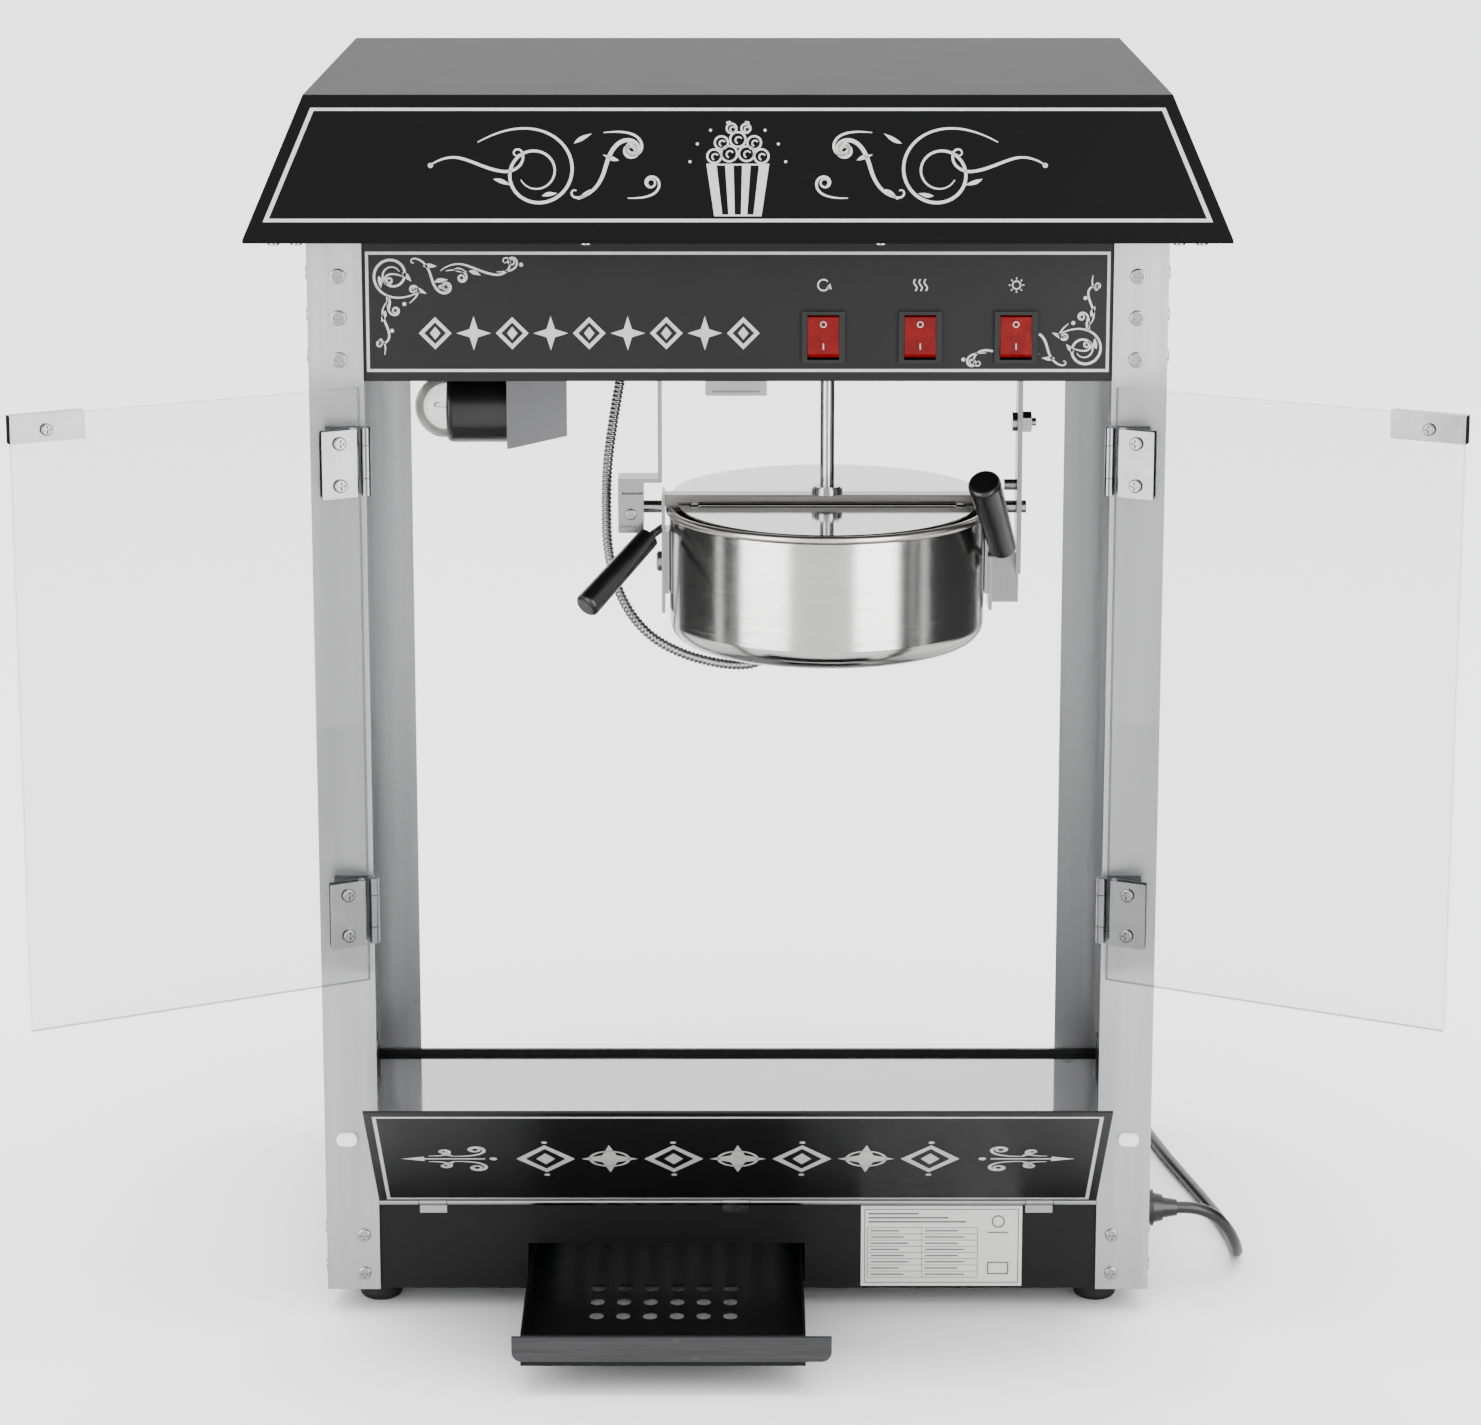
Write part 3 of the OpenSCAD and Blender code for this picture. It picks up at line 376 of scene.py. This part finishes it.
# ---------------------------------------------------------------- flexible conduit
cp = [(-71, 14, 576), (-73, 14, 550), (-78, 15, 520), (-82, 16, 490), (-83, 17, 460), (-82, 18, 435),
      (-77, 18, 412), (-68, 18, 393), (-54, 16, 378), (-34, 12, 368), (-12, 8, 363), (5, 4, 363), (15, 1, 367),
      (19, 0, 373)]
cl = evenly(smooth([P(*c) for c in cp], 8), 0.00055)
v, f = tube_mesh(cl, lambda i: 0.0034 * (0.76 + 0.24 * abs(math.sin(i * math.pi / 5))), 14)
conduit = piece("ribbed_conduit", v, f, M["conduit"], None, True)
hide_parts("kettle_conduit")
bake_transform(conduit)


# ---------------------------------------------------------------- prints
class Ink:
    """Flat shapes drawn in millimetres on a plane, gathered in one thin mesh."""

    def __init__(self):
        self.v, self.f = [], []

    def strip(self, pts, w, taper=False):
        n, base = len(pts), len(self.v)
        for i, p in enumerate(pts):
            a, b = pts[max(i - 1, 0)], pts[min(i + 1, n - 1)]
            dx, dy = b[0] - a[0], b[1] - a[1]
            l = math.hypot(dx, dy) or 1
            k = w / 2
            if taper:
                k *= 0.3 + 0.7 * math.sin(math.pi * min(1, max(0, i / (n - 1)))) ** 0.7
            self.v += [(p[0] - dy / l * k, p[1] + dx / l * k), (p[0] + dy / l * k, p[1] - dx / l * k)]
        for i in range(n - 1):
            j = base + 2 * i
            self.f.append((j, j + 1, j + 3, j + 2))

    def poly(self, pts):
        base = len(self.v)
        self.v += list(pts)
        self.f.append(tuple(base + i for i in range(len(pts))))

    def disc(self, x, y, r, n=20):
        self.poly([(x + r * math.cos(2 * math.pi * i / n), y + r * math.sin(2 * math.pi * i / n)) for i in range(n)])

    def ring(self, x, y, r, w, a0=0, a1=360):
        n = max(6, int(abs(a1 - a0) / 10))
        self.strip([(x + r * math.cos(math.radians(a0 + (a1 - a0) * i / n)),
                     y + r * math.sin(math.radians(a0 + (a1 - a0) * i / n))) for i in range(n + 1)], w)

    def frame(self, outer, inner):
        base = len(self.v)
        n = len(outer)
        self.v += list(outer) + list(inner)
        for i in range(n):
            j = (i + 1) % n
            self.f.append((base + i, base + j, base + n + j, base + n + i))

    def build(self, name, place, mat, body):
        verts = [place(*p) for p in self.v]
        o = piece(name, verts, self.f, mat, body)
        return o


def path(p, a, segs, step=0.7):
    x, y = p
    a = math.radians(a)
    out = [(x, y)]
    for length, k0, k1 in segs:
        n = max(2, int(length / step))
        for i in range(n):
            d = length / n
            k = k0 + (k1 - k0) * (i + 0.5) / n
            a += k * d
            x += math.cos(a) * d
            y += math.sin(a) * d
            out.append((x, y))
    return out


def fit(pts, x0, y0, x1, y1, fx=False, fy=False):
    """The line turned over if asked and brought into a box."""
    xs, ys = [p[0] for p in pts], [p[1] for p in pts]
    a, b, c, d = min(xs), max(xs), min(ys), max(ys)
    out = []
    for x, y in pts:
        u, w = (x - a) / max(b - a, 1e-6), (y - c) / max(d - c, 1e-6)
        if fx:
            u = 1 - u
        if fy:
            w = 1 - w
        out.append((x0 + (x1 - x0) * u, y0 + (y1 - y0) * w))
    return out


def fitu(pts, cx, cy, w, h, turn=0.0, fx=False, fy=False):
    """The line turned, turned over if asked and scaled evenly into a box about a centre."""
    c, sn = math.cos(math.radians(turn)), math.sin(math.radians(turn))
    pts = [(c * x - sn * y, sn * x + c * y) for x, y in pts]
    xs, ys = [p[0] for p in pts], [p[1] for p in pts]
    mx, my = (min(xs) + max(xs)) / 2, (min(ys) + max(ys)) / 2
    k = min(w / max(max(xs) - min(xs), 1e-6), h / max(max(ys) - min(ys), 1e-6))
    return [(cx + (-1 if fx else 1) * k * (x - mx), cy + (-1 if fy else 1) * k * (y - my)) for x, y in pts]


G_LOOP = path((0, 0), 150, [(40, 0.012, 0.05), (70, 0.05, 0.085), (46, 0.09, 0.13)], 0.5)
G_SPIRAL = path((0, 0), 0, [(74, 0.34, 0.06), (26, 0.05, -0.01), (30, -0.02, -0.05), (14, -0.08, -0.5)], 0.5)
G_CURL = path((0, 0), 0, [(40, 0.5, 0.09), (14, 0.06, 0.0)], 0.5)
G_SWEEP = path((0, 0), 40, [(24, -0.03, -0.05), (30, -0.02, 0.03), (22, 0.06, 0.12), (14, 0.2, 0.6)], 0.5)


def leaf(ink, x, y, a, l, w):
    """A plain drop-shaped leaf."""
    a = math.radians(a)
    ca, sa = math.cos(a), math.sin(a)
    out = []
    for i in range(17):
        t = i / 16
        k = w * math.sin(math.pi * t) * (1 - 0.55 * t)
        out.append((t * l, k))
    for i in range(15, 0, -1):
        t = i / 16
        k = -w * 0.5 * math.sin(math.pi * t) * (1 - 0.4 * t)
        out.append((t * l, k))
    ink.poly([(x + ca * p - sa * q, y + sa * p + ca * q) for p, q in out])


# sign on the roof's front slope
SL = math.hypot(33, 79.5)
UP = (33 / SL, 79.5 / SL)


def on_roof(x, t):
    return P(x, -213 + UP[0] * t - UP[1] * 0.25, 663.5 + UP[1] * t + UP[0] * 0.25)


ink = Ink()


def trap(t0, t1, inset):
    h = lambda t: 283 - 33 * t / SL - inset
    return [(-h(t0), t0), (h(t0), t0), (h(t1), t1), (-h(t1), t1)]


ink.frame(trap(10.5, 78.2, 7.6), trap(12.5, 76.4, 10.2))
for s in (-1, 1):
    fx = s > 0
    ink.strip(fitu(G_SPIRAL, s * 76, 42, 66, 34, 95, fx=fx), 2.4, True)
    ink.strip(fitu(G_LOOP, s * 122, 44, 66, 44, 0, fx=not fx), 1.9, True)
    ink.strip(fitu(G_SWEEP, s * 150, 47, 54, 30, 0, fx=fx), 1.8, True)
    ink.strip(fitu(G_CURL, s * 66, 57, 22, 15, 205, fx=fx), 1.6, True)
    ink.strip(fitu(G_CURL, s * 54, 31, 18, 13, 20, fx=not fx), 1.5, True)
    for x, y, a, l in ((94, 57, 150, 12), (68, 47, 20, 10), (140, 36, 200, 11), (112, 26, 170, 9), (84, 30, 320, 10)):
        leaf(ink, x * s, y, 180 - a if s < 0 else a, l, 2.2)
    ink.disc(s * 176, 44, 1.5, 14)
# a plain striped bucket with round kernels over it
top, bot, y0, y1 = 17.0, 12.5, 15.0, 44.0
for i in range(7):
    a, b = -1 + 2 * i / 7, -1 + 2 * (i + 1) / 7
    if i % 2 == 0:
        ink.poly([(a * bot, y0), (b * bot, y0), (b * top, y1), (a * top, y1)])
ink.frame([(-bot - 1, y0 - 1), (bot + 1, y0 - 1), (top + 1, y1 + 1), (-top - 1, y1 + 1)],
          [(-bot, y0), (bot, y0), (top, y1), (-top, y1)])
for x, y, r in ((-13.5, 49.5, 4.6), (-5, 51, 5.2), (5, 51, 5.0), (13.5, 49.5, 4.7), (-9.4, 57.5, 4.4), (0, 59.4, 5.0),
                (9.4, 57.5, 4.5), (-3.6, 66, 3.4), (4.6, 66, 3.2)):
    ink.ring(x, y, r - 0.6, 1.2)
    ink.ring(x + 0.5, y - 0.4, r * 0.38, 0.9, 30, 250)
for s in (-1, 1):
    for i in range(5):
        a = math.radians(12 + 22 * i)
        ink.disc(s * 28 * math.cos(a), 40 + 30 * math.sin(a), 0.9, 10)
ink.build("sign_print", on_roof, M["print"], "cabinet")


# control panel
def on_panel(x, z):
    return P(x, -178.2, z)


ink = Ink()
ink.frame([(-216, 581.5), (216, 581.5), (216, 652), (-216, 652)],
          [(-214.3, 583.2), (214.3, 583.2), (214.3, 650.3), (-214.3, 650.3)])


def corner(cx, cy, sx, sy, k):
    """Filigree that fills a corner and runs out along both edges."""
    def q(shape, x, y, w, h, t, turn=0, fx=False, fy=False):
        ink.strip(fitu(shape, cx + sx * x * k, cy + sy * y * k, w * k, h * k, turn, fx=(sx < 0) != fx,
                       fy=(sy < 0) != fy), t, True)
    q(G_LOOP, 17, 14, 32, 24, 1.5)
    q(G_SPIRAL, 38, 12, 34, 22, 1.5, 95)
    q(G_CURL, 15, 14, 12, 10, 1.2, 40)
    q(G_SWEEP, 66, 6, 44, 11, 1.3, fy=True)
    q(G_CURL, 86, 5, 14, 9, 1.2, 200)
    q(G_CURL, 54, 12, 13, 10, 1.2, 30, fx=True)
    q(G_SWEEP, 8, 42, 12, 26, 1.3, 90)
    q(G_CURL, 6, 58, 9, 9, 1.1, 120)
    q(G_CURL, 14, 31, 14, 12, 1.2, 300)
    q(G_CURL, 27, 24, 13, 11, 1.2, 160)
    for x, y, a, l in ((10, 24, 80, 10), (26, 20, 20, 10), (40, 16, -10, 9), (9, 34, 110, 8), (52, 8, 10, 9),
                       (20, 10, 45, 8), (33, 6, 0, 9), (62, 9, 20, 8), (5, 12, 80, 8)):
        ang = a if sx > 0 else 180 - a
        leaf(ink, cx + sx * x * k, cy + sy * y * k, ang * (1 if sy > 0 else -1), l * k, 2.4 * k)
    for x, y in ((95, 5), (21, 30), (44, 19), (13, 47)):
        ink.disc(cx + sx * x * k, cy + sy * y * k, 1.2, 12)


corner(-213, 649, 1, -1, 0.92)
corner(213, 584.5, -1, 1, 0.86)


# rows of plain ornaments where words would stand
def star(ink, x, y, r, n=4, inner=0.36, sx=1.0):
    out = []
    for i in range(2 * n):
        a = math.pi / n * i + math.pi / 2
        k = r if i % 2 == 0 else r * inner
        out.append((x + sx * k * math.cos(a), y + k * math.sin(a)))
    ink.poly(out)


def lozenge(ink, x, y, w, h, t):
    ink.frame([(x - w / 2, y), (x, y - h / 2), (x + w / 2, y), (x, y + h / 2)],
              [(x - w / 2 + t, y), (x, y - h / 2 + t), (x + w / 2 - t, y), (x, y + h / 2 - t)])
    ink.poly([(x - w * 0.16, y), (x, y - h * 0.2), (x + w * 0.16, y), (x, y + h * 0.2)])


for i in range(9):
    x = -176 + 22.4 * i
    if i % 2 == 0:
        lozenge(ink, x, 604.3, 19, 19, 3.1)
    else:
        star(ink, x, 604.3, 10, 4, 0.34)
# pictograms: rotation, warmth, lamp
for k, x in enumerate((49.7, 106, 161.7)):
    y = 632.5
    if k == 0:
        ink.ring(x, y, 3.2, 0.9, 40, 340)
        ink.poly([(x + 1.4, y - 1.9), (x + 4.8, y - 2.4), (x + 3.9, y + 1.0)])
    elif k == 1:
        for d in (-3, 0, 3):
            ink.strip([(x + d + 0.9 * math.sin(t / 12 * 2 * math.pi), y - 3.4 + 6.8 * t / 12) for t in range(13)], 0.9)
    else:
        ink.ring(x, y, 2.3, 0.8)
        for a in range(0, 360, 45):
            ca, sa = math.cos(math.radians(a)), math.sin(math.radians(a))
            ink.strip([(x + 3.3 * ca, y + 3.3 * sa), (x + 4.5 * ca, y + 4.5 * sa)], 0.7)
# the scrollwork stops at the light switch's bezel
ink.f = [f for f in ink.f if not any(abs(ink.v[i][0] - 161.7) < 13 and abs(ink.v[i][1] - 602) < 15.8 for i in f)]
keep = sorted({i for f in ink.f for i in f})
order = {i: k for k, i in enumerate(keep)}
ink.v, ink.f = [ink.v[i] for i in keep], [tuple(order[i] for i in f) for f in ink.f]
ink.build("panel_print", on_panel, M["print"], "cabinet")

# marks on the rockers
for x, name in ((49.7, "motor"), (106, "heat"), (161.7, "light")):
    def on_rocker(a, b, x=x):
        s = 1 if b > 0 else -1
        d = math.hypot(2.2, 12.5)
        yl = -5.4 - 2.2 / d * abs(b) - 12.5 / d * 0.15
        zl = s * (12.5 / d * abs(b) - 2.2 / d * 0.15)
        c, sn = math.cos(math.radians(-10)), math.sin(math.radians(-10))
        return P(x + a, -174 + yl * c - zl * sn, 602 + yl * sn + zl * c)
    ink = Ink()
    ink.ring(0, 6.6, 1.6, 0.55)
    ink.strip([(0, -8.2), (0, -4.6)], 0.7)
    ink.build(name + "_marks", on_rocker, M["print"], name + "_switch")

# flap
ca, sa = math.cos(math.radians(48)), math.sin(math.radians(48))


def on_flap(x, h):
    y = -0.95
    return P(x, -181 + y * ca - h * sa, 72 + y * sa + h * ca)


ink = Ink()
ink.frame([(-212.5, 5.5), (212.5, 5.5), (212.5, 134), (-212.5, 134)],
          [(-210.4, 8.0), (210.4, 8.0), (210.4, 131.5), (-210.4, 131.5)])
for i in range(7):
    x = -114 + 38 * i
    if i % 2 == 0:
        lozenge(ink, x, 70, 35, 42, 5.6)
        for t in (-1, 1):
            ink.disc(x, 70 + 25 * t, 1.8, 12)
    else:
        star(ink, x, 70, 21, 4, 0.36, 0.8)
        ink.ring(x, 70, 11.5, 1.8)
for s in (-1, 1):
    ink.strip([(s * 150, 70), (s * 186, 70)], 1.8)
    ink.poly([(s * 186, 73.5), (s * 186, 66.5), (s * 200, 70)])
    for t in (-1, 1):
        ink.strip(fitu(G_CURL, s * 160, 70 + t * 11, 20, 19, 20, fx=s < 0, fy=t < 0), 2.2, True)
        ink.strip(fitu(G_CURL, s * 177, 70 + t * 9, 13, 13, 20, fx=s < 0, fy=t < 0), 1.9, True)
        leaf(ink, s * 168, 70 + t * 4, (35 if s > 0 else 145) * t, 11, 2.6)
    ink.disc(s * 145, 70, 2.3, 14)
ink.build("flap_print", on_flap, M["print"], "flap")


# blank rating label: lines and boxes only
def on_label(x, z):
    return P(x, -178.55, z)


ink = Ink()
ink.frame([(77, 18.5), (171, 18.5), (171, 66), (77, 66)], [(77.5, 19), (170.5, 19), (170.5, 65.5), (77.5, 65.5)])
for i in range(9):
    ink.strip([(79, 54 - 4 * i), (146, 54 - 4 * i)], 0.3)
    for a, b in ((81, 98 + 3 * (i % 3)), (114, 134 + 4 * (i % 2))):
        if i < 8:
            ink.strip([(a, 52 - 4 * i), (b, 52 - 4 * i)], 0.8)
for x in (79, 112, 146):
    ink.strip([(x, 22), (x, 54)], 0.3)
for i, b in enumerate((110, 128, 139)):
    ink.strip([(79.5, 63 - 2.6 * i), (b, 63 - 2.6 * i)], 1.0)
ink.ring(158.5, 58, 3.6, 0.9)
ink.strip([(152, 51), (165, 51)], 0.8)
ink.frame([(152, 24), (165, 24), (165, 32), (152, 32)], [(152.8, 24.8), (164.2, 24.8), (164.2, 31.2), (152.8, 31.2)])
ink.build("label_print", on_label, M["ink"], "cabinet")

# ---------------------------------------------------------------- lamp's inner parts
cy, cz = -60, 540.5
stem = [P(-160 - 0.5 * i, cy, cz) for i in range(20)]
v, f = tube_mesh(stem, lambda i: 0.0022 - 0.00005 * i, 10)
for s in (-1, 1):
    wire = smooth([P(-168, cy + s * 1.2, cz), P(-178, cy + s * 4, cz), P(-184, cy + s * 7, cz + 1)], 6)
    a, b = tube_mesh(wire, lambda i: 0.00025, 6)
    k = len(v)
    v += a
    f += [tuple(k + j for j in q) for q in b]
coilw = [P(-184 - 1.6 * math.sin(math.pi * i / 60) + 0.4 * math.cos(i * 1.3), cy - 7 + 14 * i / 60,
           cz + 1 + 0.4 * math.sin(i * 1.3)) for i in range(61)]
a, b = tube_mesh(coilw, lambda i: 0.00022, 5)
k = len(v)
v += a
f += [tuple(k + j for j in q) for q in b]
piece("bulb_filament", v, f, M["tungsten"], "cabinet", True)

# ---------------------------------------------------------------- floor and light
me = bpy.data.meshes.new("floor")
me.from_pydata([(-40, -40, 0), (40, -40, 0), (40, 40, 0), (-40, 40, 0)], [], [(0, 1, 2, 3)])
floor = bpy.data.objects.new("floor", me)
bpy.context.scene.collection.objects.link(floor)
fm = bpy.data.materials.new("floor")
fm.use_nodes = True
fb = fm.node_tree.nodes["Principled BSDF"]
fb.inputs["Base Color"].default_value = (0.93, 0.93, 0.93, 1)
fb.inputs["Roughness"].default_value = 0.7
fb.inputs["Specular IOR Level"].default_value = 0.2
me.materials.append(fm)

world = bpy.data.worlds.new("studio")
bpy.context.scene.world = world
world.use_nodes = True
world.node_tree.nodes["Background"].inputs["Color"].default_value = (1, 1, 1, 1)
world.node_tree.nodes["Background"].inputs["Strength"].default_value = 3.0


def light(name, at, to, sx, sy, power):
    d = bpy.data.lights.new(name, "AREA")
    d.shape = "RECTANGLE"
    d.size, d.size_y = sx, sy
    d.energy = power
    o = bpy.data.objects.new(name, d)
    bpy.context.scene.collection.objects.link(o)
    o.location = at
    o.rotation_euler = (Vector(to) - Vector(at)).to_track_quat("-Z", "Y").to_euler()
    return o


def around(deg, dist, z):
    a = math.radians(deg)
    return (dist * math.sin(a), -dist * math.cos(a), z)


# two upright softboxes in front, one overhead
for name, deg, w, power in (("softbox_left", -47, 0.95, 44), ("softbox_right", 39, 0.8, 42)):
    o = light(name, around(deg, 1.3, 0.78), around(deg, 0.1, 0.78), w, 1.5, power)
    o.visible_camera = False
    o.visible_diffuse = False
light("overhead", (0, -0.1, 2.8), (0, 0, 0), 2.2, 1.8, 70).visible_camera = False

# black flags beside the softboxes, seen only in the gloss
fl = bpy.data.materials.new("flag")
fl.use_nodes = True
fl.node_tree.nodes["Principled BSDF"].inputs["Base Color"].default_value = (0.03, 0.03, 0.03, 1)
fl.node_tree.nodes["Principled BSDF"].inputs["Roughness"].default_value = 1.0
fl.node_tree.nodes["Principled BSDF"].inputs["Specular IOR Level"].default_value = 0.0
for i, (a0, a1, z1) in enumerate(((-82, -71, 1.5), (-132, -88, 0.62), (60, 72, 1.5), (77, 140, 0.8), (-172, 172, 0))):
    if z1 == 0:
        continue
    p0, p1 = around(a0, 1.35, 0), around(a1, 1.35, 0)
    fm2 = bpy.data.meshes.new("flag_%d" % i)
    fm2.from_pydata([(p0[0], p0[1], 0.001), (p1[0], p1[1], 0.001), (p1[0], p1[1], z1), (p0[0], p0[1], z1)], [],
                    [(0, 1, 2, 3)])
    fm2.materials.append(fl)
    o = bpy.data.objects.new("flag_%d" % i, fm2)
    bpy.context.scene.collection.objects.link(o)
    o.visible_camera = False
    o.visible_diffuse = False
    o.visible_shadow = False
    o.visible_transmission = False
